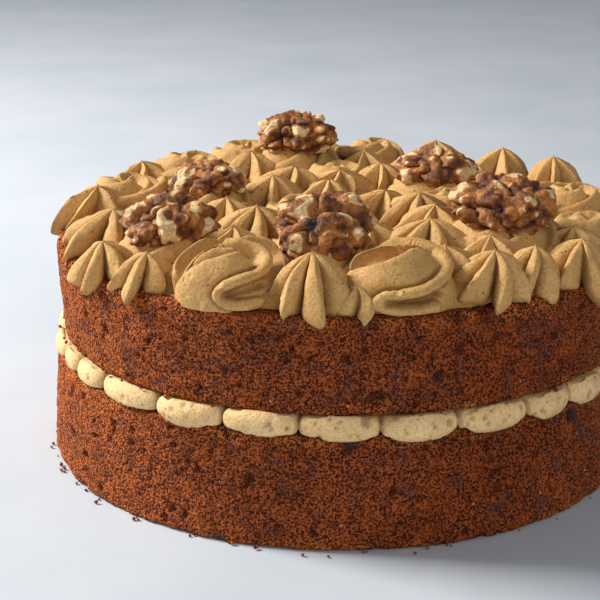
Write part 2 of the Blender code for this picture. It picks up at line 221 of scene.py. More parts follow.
# Rosettes: x, y, radius, height above the sponge, bearing where the rope ends and how many
# degrees of its last turn stand clear of the middle.
ROSETTES = (
    (-0.0335, -0.0740, 0.0195, 0.0175, 256, 200),
    (0.0180, -0.0762, 0.0200, 0.0175, 228, 210),
    (-0.0050, -0.0560, 0.0220, 0.0165, 250, 0),
    (-0.0530, -0.0420, 0.0215, 0.0150, 200, 0),
    (0.0530, -0.0340, 0.0245, 0.0165, 320, 0),
    (-0.0450, 0.0080, 0.0210, 0.0155, 230, 0),
    (0.0340, 0.0270, 0.0215, 0.0160, 250, 0),
    (-0.0170, 0.0670, 0.0220, 0.0170, 240, 0),
    (-0.0760, 0.0160, 0.0190, 0.0160, 190, 180),
    (-0.0570, 0.0540, 0.0190, 0.0155, 160, 180),
    (0.0800, 0.0080, 0.0180, 0.0155, 350, 180),
    (0.0120, 0.0810, 0.0165, 0.0155, 80, 180),
)

# Body of a rosette under its ridges: its share of the radius and height, its squareness, how
# many rings it has for its size, how far apart its points are for each kind of rosette, and how far
# below the sponge's top it may hang.
DOME_SHARE = 0.84
DOME_RISE = 0.62
DOME_SQUARENESS = 0.7
OPEN_DOME_STEP = 0.00062
HIDDEN_DOME_STEP = 0.00080
FRONT_DOME_STEP = 0.00036
DOME_LEVELS = 1.35
DOME_HANG = 0.0035

# Ridges that wind up a rosette: how many and how far they sweep, for a rosette with a last turn
# that shows, for one that a walnut sits on and for a small one among the stars. Bearing of the first
# past the rope's end and how far each strays; how far out and how high ridges start, how much that
# changes on the way, and how soon.
OPEN_RIDGES = (4, 230)
HIDDEN_RIDGES = (7, 130)
SMALL_RIDGES = (2, 480)
FIRST_RIDGE = 20
RIDGE_STRAY = 10
RIDGE_REACH = (0.92, 0.80, 1.15)
RIDGE_RISE = (0.16, 0.80, 0.75)

# Section of a ridge: width of its outer and inner faces for the radius, points along its lip, bend of
# its faces, and how round its lip is and how far it leans in; its least height, over how many points
# it is evened out, and how low and how abrupt its ends are. Then grooves beside ridges and ropes,
# where a rope leaves the body, the creases with painted shade, and how often the relief is averaged.
RIDGE_OUTER = 0.26
RIDGE_INNER = 0.055
RIDGE_POINTS = 140
FINENESS = 8
FACE_BEND = 1.35
LIP_ROUND = 0.00045
LIP_LEAN = 0.30
LEAN_POWER = 3
LEAST_RIDGE = 0.0004
EVEN_POINTS = 9
RIDGE_ENDS = (0.96, 7)
GROOVE_WIDTH = 0.0014
ROPE_GROOVE_WIDTH = 0.0010
GROOVE_DEPTH = 0.60
GROOVE_ENDS = 4
ROPE_GROOVE_DEPTH = 0.80
ROPE_LEAVES = (0.34, 0.10)
SHADED_CREASE_WIDTH = 0.0010
SHADED_CREASE_START = 0.9
SOFTENINGS = 1

# The two rosettes at the front rim, as the rope left them, in millimetres about the rosette's
# middle on the sponge. A ridge has the widths of its outer and its inner face and the points that
# its lip runs through; a rope has its half width and its points; a hollow its depth, its half
# width and its points.
FRONT_RIDGES = {
    0: (
        (4.5, 1.0, ((-17, -6, 7), (-16, 0, 10.4), (-12, 4.5, 13.2), (-8, 7, 15), (-1.3, 9, 16))),
        (5.0, 1.0, ((0, 9, 15.6), (6, 9, 15.8), (12, 8, 14.4), (16, 5, 11.5), (17.5, 0, 9.2),
                    (17, -6, 7.4), (14, -11, 6))),
        (2.4, 1.0, ((-14.6, -8.5, 7.8), (-12.4, -7.5, 10.6), (-10, -5, 13.1), (-6, -1, 15.2),
                    (-1.5, 3, 16.2))),
        (2.4, 1.0, ((-12.8, -9.8, 8.4), (-10.5, -9.2, 10.8), (-8, -7.3, 13.2), (-4, -5.5, 15.2),
                    (1, -4, 15.8), (4, -2, 15.2))),
        (7.0, 1.0, ((-16.6, -8, 3.6), (-15, -10, 5.6), (-13, -10.6, 8.1), (-9.6, -11, 11),
                    (-5.4, -10.8, 13), (-0.2, -10, 14.2), (4, -7.6, 14.8), (6, -4, 15))),
    ),
    1: (
        (6.0, 1.0, ((-17.2, 1, 8.6), (-13, 3.5, 12.4), (-7, 2.5, 15.2), (-1, 1.6, 16.4),
                    (5, 2.5, 16.2), (9, 4, 14.8))),
        (8.5, 1.0, ((-18, -2, 6.4), (-16, -6, 9), (-10.4, -10.8, 11.7), (-5.5, -11.8, 13.2),
                    (-0.3, -10.2, 14.8), (3.5, -6, 16), (6.4, -0.5, 16.2), (7, 3.5, 15))),
    ),
}
FRONT_ROPES = {
    0: (2.0, ((-6, -3, 14.4), (-4, -0.5, 16), (0, 1.8, 17), (4, 2.2, 16.6),
              (8.5, 1.5, 15.4), (11.8, -1, 13.9), (12.6, -5.5, 12.4), (10.8, -10.6, 11),
              (6.3, -14.6, 10.2), (2.4, -16.6, 9.2), (-0.8, -17.9, 7.9), (-2.6, -18.8, 6.1),
              (-1.6, -19.3, 4), (1.5, -19.5, 2.6), (6, -18.6, 2.2), (11, -15.8, 2.2))),
    1: (2.1, ((-8, 5.5, 13.8), (-3, 7.5, 16.2), (3.5, 7.8, 16.7), (9.6, 6.4, 15.5),
              (13.6, 3, 13.7), (14.8, -1.8, 11.8), (13.6, -8.2, 10.3), (10.5, -13.6, 8.9),
              (5.8, -17.2, 7.6), (-0.5, -18.8, 6.8), (-5.8, -18.9, 6), (-8.1, -19.2, 4.1),
              (-6.2, -19.8, 2.8), (-1, -20, 2.3), (5, -19.4, 2.2), (11, -16.8, 2.2))),
}
FRONT_HOLLOWS = {
    0: (2.2, 1.1, ((0, -19, 5.6), (4, -17.6, 6), (8, -15, 6.4), (12, -11, 6.8))),
    1: (2.2, 1.2, ((-4.5, -19.4, 4.1), (0, -19.3, 4), (5, -18.2, 4.2), (9, -15.8, 5), (12, -12, 5.8))),
}

# Last turn of the rope of the other rosettes: girth, divisions and flatness; where its orbit and its
# level start and how much they change; the fold at its end, which falls outwards and down; the end
# that turns back, how long it is and how far it comes in and down; and the rope's swell and taper.
ROPE_GIRTH = 0.115
ROPE_AROUND = 16
ROPE_STEPS = 90
ROPE_FLATNESS = 1.15
TAIL_ORBIT = (0.70, 0.22)
TAIL_LEVEL = (0.80, 0.46)
FOLD_POINTS = 14
FOLD_FALL = (0.50, -0.87)
FOLD_GIRTH = 1.05
TURN_BACK = (0.0110, 0.0025, 0.0012)
ROPE_SWELL = (0.55, 3.0)
ROPE_TAPER = (0.90, 0.11, 0.02)

# Plain stars that fill what is left between the others, on rings round the cake, and which of
# them are small swirls instead.
FILL_RINGS = (0.0840, 0.0620, 0.0380, 0.0130, 0.0730, 0.0500, 0.0260, 0.0030)
FILL_BEARING_STEP = 4
FILL_RADIUS = 0.0180
FILL_RADII = (0.94, 1.06)
FILL_HEIGHT = 0.0150
FILL_HEIGHTS = (0.88, 1.10)
FILL_SPACING = 0.46
FILL_LOBES = 6
FILL_SWIRLS = (1, 5, 9, 14, 18, 22, 27, 31)

# Walnut halves: x, y, height of the centre, length, turn about Z, tip towards the front.
WALNUTS = (
    (-0.0050, -0.0595, 0.0895, 0.0330, 10, 26),
    (-0.0540, -0.0440, 0.0870, 0.0310, 25, 12),
    (-0.0460, 0.0080, 0.0870, 0.0270, 160, 6),
    (-0.0170, 0.0680, 0.0910, 0.0320, 5, 4),
    (0.0340, 0.0270, 0.0875, 0.0290, 170, 4),
    (0.0520, -0.0350, 0.0905, 0.0360, 150, 10),
)

# Shape of a walnut half, for its length: its outline, the crevice between its wings, its folds with
# what bends them, its crinkles (size, height, bluntness), and how finely it is divided.
WALNUT_WIDTH = 0.80
WALNUT_HEIGHT = 0.52
WALNUT_BELLY = 0.75
WALNUT_ENDS = 0.10
ENDS_SQUARENESS = 8
WALNUT_CREVICE = 0.28
CREVICE_WIDTH = 0.15
WALNUT_GIRTH = 0.93
FOLD_SIZE = 0.0047
FOLD_DEPTH = 0.0060
FOLD_LEVEL = 0.42
FOLD_BLUNTNESS = 0.5
FOLD_WARP = (0.005, 0.0022)
CRINKLES = (0.0022, 0.0014, 0.7)
CREVICE_BENDS = (0.006, 0.06)
WALNUT_AROUND = 138
WALNUT_RINGS = 72

# Sponge colours, each pair from deeply browned to paler: dark and light grains, baked edges, two
# tints, dark smudges, pale flecks and the painted shade of holes, pores and worn dents. Along X,
# where the layers turn paler and by how much, at the side of the light and at the far side.
CRUMB_DARK = ((0.042, 0.0075, 0.0033), (0.100, 0.022, 0.008))
CRUMB_LIGHT = ((0.300, 0.064, 0.016), (0.650, 0.178, 0.048))
EDGE_ORANGE = (0.780, 0.240, 0.040)
CRUMB_RUSTY = (0.480, 0.105, 0.016)
CRUMB_DUSKY = (0.100, 0.045, 0.040)
CRUMB_SMUDGE = (0.040, 0.024, 0.022)
CRUMB_FLECK = (0.620, 0.370, 0.190)
PAINTED_CRUMB_SHADE = (0.040, 0.009, 0.004)
PALE_SIDE = (-0.095, 0.010, 0.80, 0.0)
FAR_SIDE = (0.055, 0.090, 0.0, 0.25)

# Buttercream colours: pale and deep, how much darker its grain is, specks, and the painted shade of
# clefts, creases, joins, holes and hollows.
FILLING_TONES = ((0.900, 0.640, 0.325), (0.810, 0.535, 0.245))
TOPPING_TONES = ((0.670, 0.400, 0.143), (0.565, 0.315, 0.106))
FINE_SHADE = 0.66
SMALL_SPECK = (0.160, 0.080, 0.030)
MIDDLE_SPECK = (0.105, 0.050, 0.020)
LARGE_SPECK = (0.070, 0.030, 0.012)
PAINTED_CREAM_SHADE = (0.230, 0.100, 0.030)

# Walnut colours: dark and light skin, veins, bare kernel, and the darker skin with painted shade in
# its creases.
NUT_SKIN = ((0.105, 0.027, 0.010), (0.520, 0.205, 0.048))
NUT_VEIN = (0.120, 0.033, 0.010)
NUT_KERNEL = ((0.800, 0.600, 0.330), (0.560, 0.350, 0.150))
NUT_CREASE_SKIN_AND_SHADE = (0.014, 0.005, 0.003)

FLOOR_RADIUS = 4.0
FLOOR_CORNERS = 64
FLOOR_TONES = ((0.50, 0.55, 0.61), (0.57, 0.61, 0.67))

# Camera, lights (place, the point they face, size, power and colour) and sky.
CAMERA_LENS = 100.8
CAMERA_PLACE = (0, -0.557, 0.225)
CAMERA_TURN = (72.33, 0, 1.44)
WINDOW = ((-1.00, 0.22, 0.78), (0, 0, 0.06), 0.42, 28.5, (1.0, 0.97, 0.92))
BOUNCE = ((0.45, -1.05, 0.42), (0, 0, 0.04), 0.80, 4.6, (1.0, 0.97, 0.93))
SKY_COLOUR = (0.86, 0.90, 0.96)
SKY_STRENGTH = 0.25


def hashed(cells, seed):
    """Repeatable random number between 0 and 1 for each whole-numbered cell."""
    mixed = (cells[..., 0] * 73856093) ^ (cells[..., 1] * 19349663) ^ (cells[..., 2] * 83492791)
    mixed = (mixed + seed * 374761393) & 0xFFFFFFFF
    mixed = ((mixed ^ (mixed >> 13)) * 1274126177) & 0xFFFFFFFF
    return ((mixed ^ (mixed >> 16)) & 0xFFFFFF) / 0xFFFFFF


def lumps(points, size, seed):
    """Smooth random field between -1 and 1 whose lumps are about size across."""
    scaled = points / size
    cell = np.floor(scaled).astype(np.int64)
    part = scaled - cell
    part = part * part * (3 - 2 * part)
    total = 0.0
    for corner in itertools.product((0, 1), repeat=3):
        weight = np.prod(np.where(corner, part, 1 - part), axis=-1)
        total = total + weight * hashed(cell + np.array(corner), seed)
    return total * 2 - 1


def relief(points, kind, seed):
    """Smooth random height, from the size and the height of its lumps."""
    size, height = kind
    return height * lumps(points, size, seed)


def bearings(count):
    """Bearings evenly spaced round a circle."""
    return np.linspace(0, math.tau, count, endpoint=False)


def round_points(x, y, reach, bearing, height):
    """Points that far from x, y at those bearings, and at that height."""
    places = (x + reach * np.cos(bearing), y + reach * np.sin(bearing), height)
    return np.stack(np.broadcast_arrays(*places), axis=-1)


def warped(points, size, reach, seed):
    """Points shifted by up to about reach, with neighbours closer than size shifted alike."""
    return points + reach * np.stack([lumps(points, size, seed + k) for k in range(3)], axis=-1)


def pits(points, size, chance, seed):
    """Depth between 0 and 1 of round hollows at random places, at most one in each cell."""
    scaled = points / size
    cell = np.floor(scaled).astype(np.int64)
    deepest = np.zeros(points.shape[:-1])
    for offset in itertools.product((-1, 0, 1), repeat=3):
        home = cell + np.array(offset)
        centre = home + np.stack([hashed(home, seed + k) for k in range(3)], axis=-1)
        radius = PIT_RADIUS[0] + PIT_RADIUS[1] * hashed(home, seed + 3) ** 2
        nearness = 1 - np.sum((scaled - centre) ** 2, axis=-1) / radius ** 2
        depth = np.where(hashed(home, seed + 4) < chance, np.clip(nearness, 0, 1), 0)
        deepest = np.maximum(deepest, np.sqrt(depth) * np.minimum(1, radius * PIT_DEPTH))
    return deepest


def normals(grid):
    """Unit normals of a grid of points that closes on itself along its second axis."""
    along = np.gradient(grid, axis=0)
    around = np.roll(grid, -1, axis=1) - np.roll(grid, 1, axis=1)
    across = np.cross(around, along)
    return across / np.maximum(np.linalg.norm(across, axis=-1, keepdims=True), 1e-12)


def outward(grid):
    """The grid with its rings turned the way that makes its faces look out."""
    middle = grid - grid.mean(axis=(0, 1))
    corner = np.cross(np.roll(middle, -1, axis=1)[:-1] - middle[:-1], middle[1:] - middle[:-1])
    return grid if np.sum(corner * middle[:-1]) > 0 else grid[:, ::-1]


def skin(grid, start=None, end=None):
    """Points and faces of a closed skin over a grid of rings, each end closed at a point."""
    rows, columns = grid.shape[:2]
    points = [grid.reshape(-1, 3)]
    index = np.arange(rows * columns).reshape(rows, columns)
    after = np.roll(index, -1, axis=1)
    quads = np.stack([index[:-1], after[:-1], after[1:], index[1:]], axis=-1).reshape(-1, 4)
    faces = quads.tolist()
    for ring, point, flip in ((index[0], start, True), (index[-1], end, False)):
        loop = ring[::-1] if flip else ring
        if point is None:
            faces.append(loop.tolist())
            continue
        centre = rows * columns + len(points) - 1
        points.append(np.array([point]))
        faces.extend([int(a), int(b), centre] for a, b in zip(loop, np.roll(loop, -1)))
    return np.concatenate(points), faces


def new_object(name, data):
    """Object with that data in the scene."""
    made = bpy.data.objects.new(name, data)
    bpy.context.scene.collection.objects.link(made)
    return made


def new_piece(name, parts, surface, node, values):
    """One object from several closed skins, with how dark their points are and its place declared."""
    points = []
    faces = []
    for part_points, part_faces in parts:
        start = sum(len(p) for p in points)
        points.append(part_points)
        faces.extend([start + i for i in face] for face in part_faces)
    mesh = bpy.data.meshes.new(name)
    mesh.from_pydata(np.concatenate(points).tolist(), [], faces)
    mesh.shade_smooth()
    mesh.materials.append(surface)
    # The hollow value of each point, which the materials turn into painted shade, and on walnuts also
    # into bare kernel on the crests.
    layer = mesh.attributes.new("hollow", "FLOAT", "POINT")
    layer.data.foreach_set("value", np.concatenate(values).astype(np.float32))
    made = new_object(name, mesh)
    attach(made, "root")
    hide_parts(node)


def bulge(angle, phase):
    """How far the side of a layer bulges at an angle."""
    return BULGE * sum(share * np.sin(count * angle + take * phase)
                       for count, share, take in BULGE_WAVES)


def crumb(place, size, chooser):
    """Torn scrap of sponge of that size, lying in any direction."""
    corners = []
    for tilt in CRUMB_RISES:
        for i in range(CRUMB_CORNERS):
            turn = math.tau * (i + chooser.uniform(-CORNER_STRAY, CORNER_STRAY)) / CRUMB_CORNERS
            rise = math.radians(tilt + chooser.uniform(-RISE_STRAY, RISE_STRAY))
            reach = size * chooser.uniform(*CORNER_REACH)
            corners.append((reach * math.cos(rise) * math.cos(turn),
                            reach * math.cos(rise) * math.sin(turn),
                            CRUMB_FLATNESS * reach * math.sin(rise)))
    grid = np.array(corners).reshape(len(CRUMB_RISES), CRUMB_CORNERS, 3) + np.array(place)
    return skin(outward(grid))


def crumbs(count, chooser, where):
    """Scattered crumbs, each at a place that where gives for a bearing and a size."""
    made = []
    for _ in range(count):
        size = chooser.uniform(*CRUMB_SIZES) * chooser.uniform(*SIZE_SHARES)
        made.append(crumb(where(chooser.uniform(0, math.tau), size), size, chooser))
    return made


def foot_place(chooser):
    """Places on the floor, close to the foot of the lower layer."""
    def where(bearing, size):
        radius = LOWER_RADIUS_BOTTOM + FOOT_SPREAD[0] + chooser.uniform(0, 1) ** 3 * FOOT_SPREAD[1]
        return radius * math.cos(bearing), radius * math.sin(bearing), size * FLOOR_REST
    return where


def ledge_place(chooser, height, radius, spread, shift):
    """Places on a ledge round the cake."""
    def where(bearing, size):
        reach = radius + chooser.uniform(-spread, spread)
        return (shift + reach * math.cos(bearing), reach * math.sin(bearing),
                height + chooser.uniform(*LEDGE_REST) * size)
    return where


def sponge(name, node, bottom, top, radius_bottom, radius_top, phase, shift, loose, surface):
    """One baked layer with open crumb all round its side, crumbling edges and loose crumbs."""
    steps = round((top - bottom) / CRUMB_ROW)
    rows = [(inset, bottom, -1.0) for inset in reversed(CAP_INSETS)]
    rows += [(0.0, bottom + (top - bottom) * k / steps, 0.0) for k in range(steps + 1)]
    rows += [(inset, top, 1.0) for inset in CAP_INSETS]
    inset, height, cap = (np.array(values)[:, None] for values in zip(*rows))
    angle = bearings(CRUMB_COLUMNS)[None, :]
    share = (height - bottom) / (top - bottom)
    edge = np.minimum(height - bottom, top - height)
    rounding = EDGE_ROUND * (1 - np.sqrt(1 - np.clip(1 - edge / EDGE_ROUND, 0, 1) ** 2))
    radius = radius_bottom + (radius_top - radius_bottom) * share - inset
    radius = radius + bulge(angle + BULGE_DRIFT * share, phase)
    grid = round_points(0, 0, radius, angle, height)
    at = warped(grid, *HOLE_WARP, 5)
    number = round(phase * 100)
    small = pits(at, *SMALL_HOLES[:2], number)
    large = pits(at, *LARGE_HOLES[:2], number + 20)
    grain = lumps(grid, CRUMB_GRAIN[0], number + 41)
    wear = np.clip(lumps(grid, WORN_PLACES[0], number + 44) + WORN_PLACES[1], 0, 1)
    wear = wear * np.clip(1 - edge / WORN_EDGE, 0, 1)
    lift = (CRUMB_GRAIN[1] * grain + relief(grid, CRUMB_LUMPS, number + 42)
            + relief(grid, CRUMB_WAVES, number + 43)
            - SMALL_HOLES[2] * small - LARGE_HOLES[2] * large - WEAR_DEPTH * wear)
    side = np.where(cap == 0, 1.0, np.clip(1 - inset / RELIEF_ENDS[0], 0, 1))
    reach = radius - rounding * (cap == 0) + lift * side
    face = lift * np.clip(1 - inset / RELIEF_ENDS[1], 0, 1)
    height = height + np.where(cap == 1, face, 0.0)
    height = height - np.where((cap == -1) & (bottom > 0), face, 0.0)
    grid = round_points(shift, 0, reach, angle, height)
    # Painted shade in the small and large holes and worn dents, lessened on raised grain.
    shades = zip(PAINTED_SHADE_SHARES, (small, large, grain, wear))
    hollow = np.clip(sum(share * depth for share, depth in shades), 0, 1)
    values = [hollow.ravel()] + [np.zeros(len(points)) for points, _ in loose]
    new_piece(name, [skin(grid), *loose], surface, node, values)


def filling(surface):
    """Buttercream rounds squeezed out between the layers, with air holes and fine drag lines."""
    chooser = random.Random(FILLING_SEED)
    behind = 360 + FRONT_JOINS[0] - FRONT_JOINS[-1]
    joins = FRONT_JOINS + tuple(FRONT_JOINS[-1] + behind * (k + 1) / BACK_ROUNDS
                                for k in range(BACK_ROUNDS))
    floor = LOWER_TOP + GAP
    ceiling = UPPER_BOTTOM - GAP
    middle = (floor + ceiling) / 2 - ROUND_DROP
    turn = np.radians(np.linspace(-PROFILE_TURN, PROFILE_TURN, FILLING_PROFILE))
    rows = []
    join_shades = []
    for left, right in zip(joins, joins[1:]):
        swell = chooser.uniform(*ROUND_SWELL)
        swell *= math.sqrt(min(1.0, (right - left) / ROUND_USUAL_WIDTH))
        lift = chooser.uniform(-ROUND_LIFT, ROUND_LIFT)
        skew = chooser.uniform(-ROUND_SKEW, ROUND_SKEW)
        for i in range(FILLING_SAMPLES):
            across = 2 * i / FILLING_SAMPLES - 1
            angle = math.radians(left + (right - left) * i / FILLING_SAMPLES)
            fullness = math.sqrt(1 - abs(ROUND_BLUNTNESS * across) ** ROUND_SQUARENESS)
            reach = ROUND_REACH * swell * (JOIN_REACH + (1 - JOIN_REACH) * fullness)
            reach *= 1 + skew * across
            half = ROUND_HALF_HEIGHT * (JOIN_HEIGHT + (1 - JOIN_HEIGHT) * fullness)
            radius = ROUND_CENTRE + reach * np.cos(turn)
            height = middle + lift * fullness + half * np.sin(turn)
            radius = np.concatenate([[FILLING_CORE_RADIUS], radius, [FILLING_CORE_RADIUS]])
            height = np.concatenate([[floor], height, [ceiling]])
            x = UPPER_SHIFT + radius * math.cos(angle)
            y = radius * math.sin(angle)
            below = np.hypot(x, y) < LOWER_RADIUS_TOP + SPONGE_CLEARANCE
            above = radius < UPPER_RADIUS_BOTTOM + SPONGE_CLEARANCE
            height = np.where(below, np.maximum(height, floor), height)
            height = np.where(above, np.minimum(height, ceiling), height)
            rows.append(np.stack([x, y, height], axis=-1))
            # Painted shade in the crease at each join, fading towards the middle of the round.
            join_shades.append(max(0.0, 1 - (1 - abs(across)) / JOIN_SHARE))
    grid = np.swapaxes(np.array(rows), 0, 1)
    bearing = np.arctan2(grid[..., 1], grid[..., 0])
    reach = np.hypot(grid[..., 0], grid[..., 1])
    drawn = np.stack([bearing * DRAG_STRETCH[0], 0 * bearing, DRAG_STRETCH[1] * grid[..., 2]], axis=-1)
    bubbles = pits(grid, *FILLING_BUBBLES[:2], 71)
    dots = pits(grid, *FILLING_DOTS[:2], 81)
    raised = (relief(grid, FILLING_WAVES, 62) + relief(drawn, DRAG_LINES, 61)
              + relief(grid, FILLING_GRAIN, 63) - FILLING_BUBBLES[2] * bubbles
              - FILLING_DOTS[2] * dots)
    show = np.clip((reach - LOWER_RADIUS_TOP + RELIEF_START[0]) / RELIEF_START[1], 0, 1)
    grid = grid + normals(grid) * (raised * show)[..., None]
    # Painted shade in the air holes outside the lower layer and in the creases at the joins.
    hollow = np.maximum(np.clip(bubbles + dots, 0, 1) * show, np.array(join_shades)[None, :])
    new_piece("filling_rounds", [skin(grid)], surface, "filling",
              [hollow.ravel()])


def drape(grid):
    """Lets what reaches past the rim of the cake sag down its side."""
    beyond = np.maximum(0, np.hypot(grid[..., 0] - UPPER_SHIFT, grid[..., 1]) - DRAPE_RADIUS)
    grid = grid.copy()
    grid[..., 2] -= DRAPE_SLOPE * beyond
    return grid


def creamed(grid, seed):
    """Fine unevenness of piped buttercream: soft dents, ragged crests and small air holes."""
    lift = (relief(grid, CREAM_DENTS, seed) + relief(grid, CREAM_GRAIN, seed + 1)
            - CREAM_HOLES[2] * pits(grid, *CREAM_HOLES[:2], seed + 2))
    return grid + normals(grid) * lift[..., None]


def star(x, y, radius, height, turn, lobes, faceted, detail, chooser):
    """Piped star: blades with sharp leaning crests and narrow clefts between them."""
    samples, levels = detail
    low_levels = levels // 3
    rise = np.concatenate([np.linspace(0, STAR_LEVELS[0], low_levels, endpoint=False),
                           np.linspace(*STAR_LEVELS, levels - low_levels)])[:, None]
    step = np.arange(lobes * samples)[None, :]
    across = np.abs((step % samples) / samples * 2 - 1)
    crest = 1 - across
    lobe = step // samples
    rough = 1 if faceted else 2
    least = BLADE_REACH[0] - BLADE_REACH[1] * rough
    uneven = np.array([chooser.uniform(least, BLADE_REACH[2]) for _ in range(lobes)])[lobe]
    stray = [chooser.uniform(-BLADE_STRAY, BLADE_STRAY) * rough for _ in range(lobes)]
    shift = np.array(stray)[lobe]
    twist = chooser.uniform(*STAR_TWIST) * rough
    lean = chooser.choice((-1, 1)) * STAR_LEAN * chooser.uniform(*LEAN_SHARES)
    low = np.clip(1 - rise / STAR_WIDEST, 0, 1)
    foot = 1 - STAR_FOOT * low ** 2
    body = (1 - np.minimum(1, rise / STAR_NECK) ** STAR_SQUARENESS[0]) ** STAR_SQUARENESS[1]
    body = STAR_DOME * body + (1 - STAR_DOME) * (1 - rise) ** SPIKE_BEND
    cleft = np.clip((across - CLEFT_START) / (1 - CLEFT_START), 0, 1)
    if faceted:
        hollow = STAR_FACET * across + STAR_CLEFT * cleft
    else:
        hollow = SAIL_DEPTH * across ** SAIL_BEND
    hollow = hollow * (1 - STAR_FADE * rise)
    reach = radius * foot * body * (1 - hollow) * uneven
    angle = turn + twist * rise + 360 * (step + samples / 2) / (lobes * samples)
    angle = np.radians(angle + shift * crest * (1 - rise)
                       + lean * crest ** 2 * np.sin(math.pi * np.clip(rise + LEAN_START, 0, 1)))
    tip_x, tip_y = (chooser.uniform(-TIP_STRAY, TIP_STRAY) * rough for _ in range(2))
    level = UPPER_TOP - SUNK + height * rise - BLADE_SAG * crest ** 2 * low
    grid = round_points(x + tip_x * rise ** 2, y + tip_y * rise ** 2, reach, angle, level)
    grid = drape(creamed(outward(grid), chooser.randrange(10 ** 6)))
    top = drape(np.array([x + tip_x, y + tip_y, UPPER_TOP + height]))
    # The clefts carry painted shade that fades upwards; the tip carries none.
    return skin(grid, end=top), np.append(cleft * (1 - CLEFT_SHADE_FADE * rise), 0.0)


def curve(points, count):
    """Smooth path through points, evenly divided."""
    points = np.array(points, float)
    ends = np.concatenate([[2 * points[0] - points[1]], points, [2 * points[-1] - points[-2]]])
    spans = np.linspace(0, len(points) - 1, FINENESS * count)
    k = np.minimum(spans.astype(int), len(points) - 2)
    t = (spans - k)[:, None]
    a, b, c, d = (ends[k + i] for i in range(4))
    fine = 0.5 * (2 * b + (c - a) * t + (2 * a - 5 * b + 4 * c - d) * t ** 2
                  + (3 * b - a - 3 * c + d) * t ** 3)
    length = np.concatenate([[0], np.cumsum(np.linalg.norm(np.diff(fine, axis=0), axis=1))])
    even = np.linspace(0, length[-1], count)
    return np.stack([np.interp(even, length, fine[:, i]) for i in range(3)], axis=-1)


def seen_from(rays, path, middle):
    """How rays from the middle of a rosette pass a path that runs round it.

    For each ray: the nearest place on the path, how far the ray passes below it on the outer side
    and how far off it altogether, and the direction of below at that place.
    """
    arm = path - middle
    length = np.linalg.norm(arm, axis=1)
    out = arm / length[:, None]
    along = np.gradient(path, axis=0)
    along -= out * np.sum(along * out, axis=1, keepdims=True)
    along /= np.linalg.norm(along, axis=1, keepdims=True)
    down = np.cross(along, out)
    if down[:, 2].sum() > 0:
        down = -down
    nearest = (rays @ out.T).argmax(axis=1)
    offset = (rays - out[nearest]) * length[nearest][:, None]
    below = np.sum(offset * down[nearest], axis=1)
    past = np.sum(offset * along[nearest], axis=1)
    return nearest, below, np.hypot(below, past), down[nearest]


def standing(path, middle, rays, body):
    """How far each place on a path stands off a body that reaches so far along each ray."""
    arm = path - middle
    under = (arm @ rays.T).argmax(axis=1)
    off = np.linalg.norm(arm, axis=1) - body[under]
    spread = np.pad(off, EVEN_POINTS // 2, mode="edge")
    even = np.convolve(spread, np.ones(EVEN_POINTS) / EVEN_POINTS, mode="valid")
    return np.maximum(LEAST_RIDGE, even)


def softened(values):
    """Values on a grid that closes along its second axis, averaged with those beside them."""
    for _ in range(SOFTENINGS):
        values = (np.roll(values, 1, axis=1) + 2 * values + np.roll(values, -1, axis=1)) / 4
        padded = np.pad(values, [(1, 1)] + [(0, 0)] * (values.ndim - 1), mode="edge")
        values = (padded[:-2] + 2 * padded[1:-1] + padded[2:]) / 4
    return values


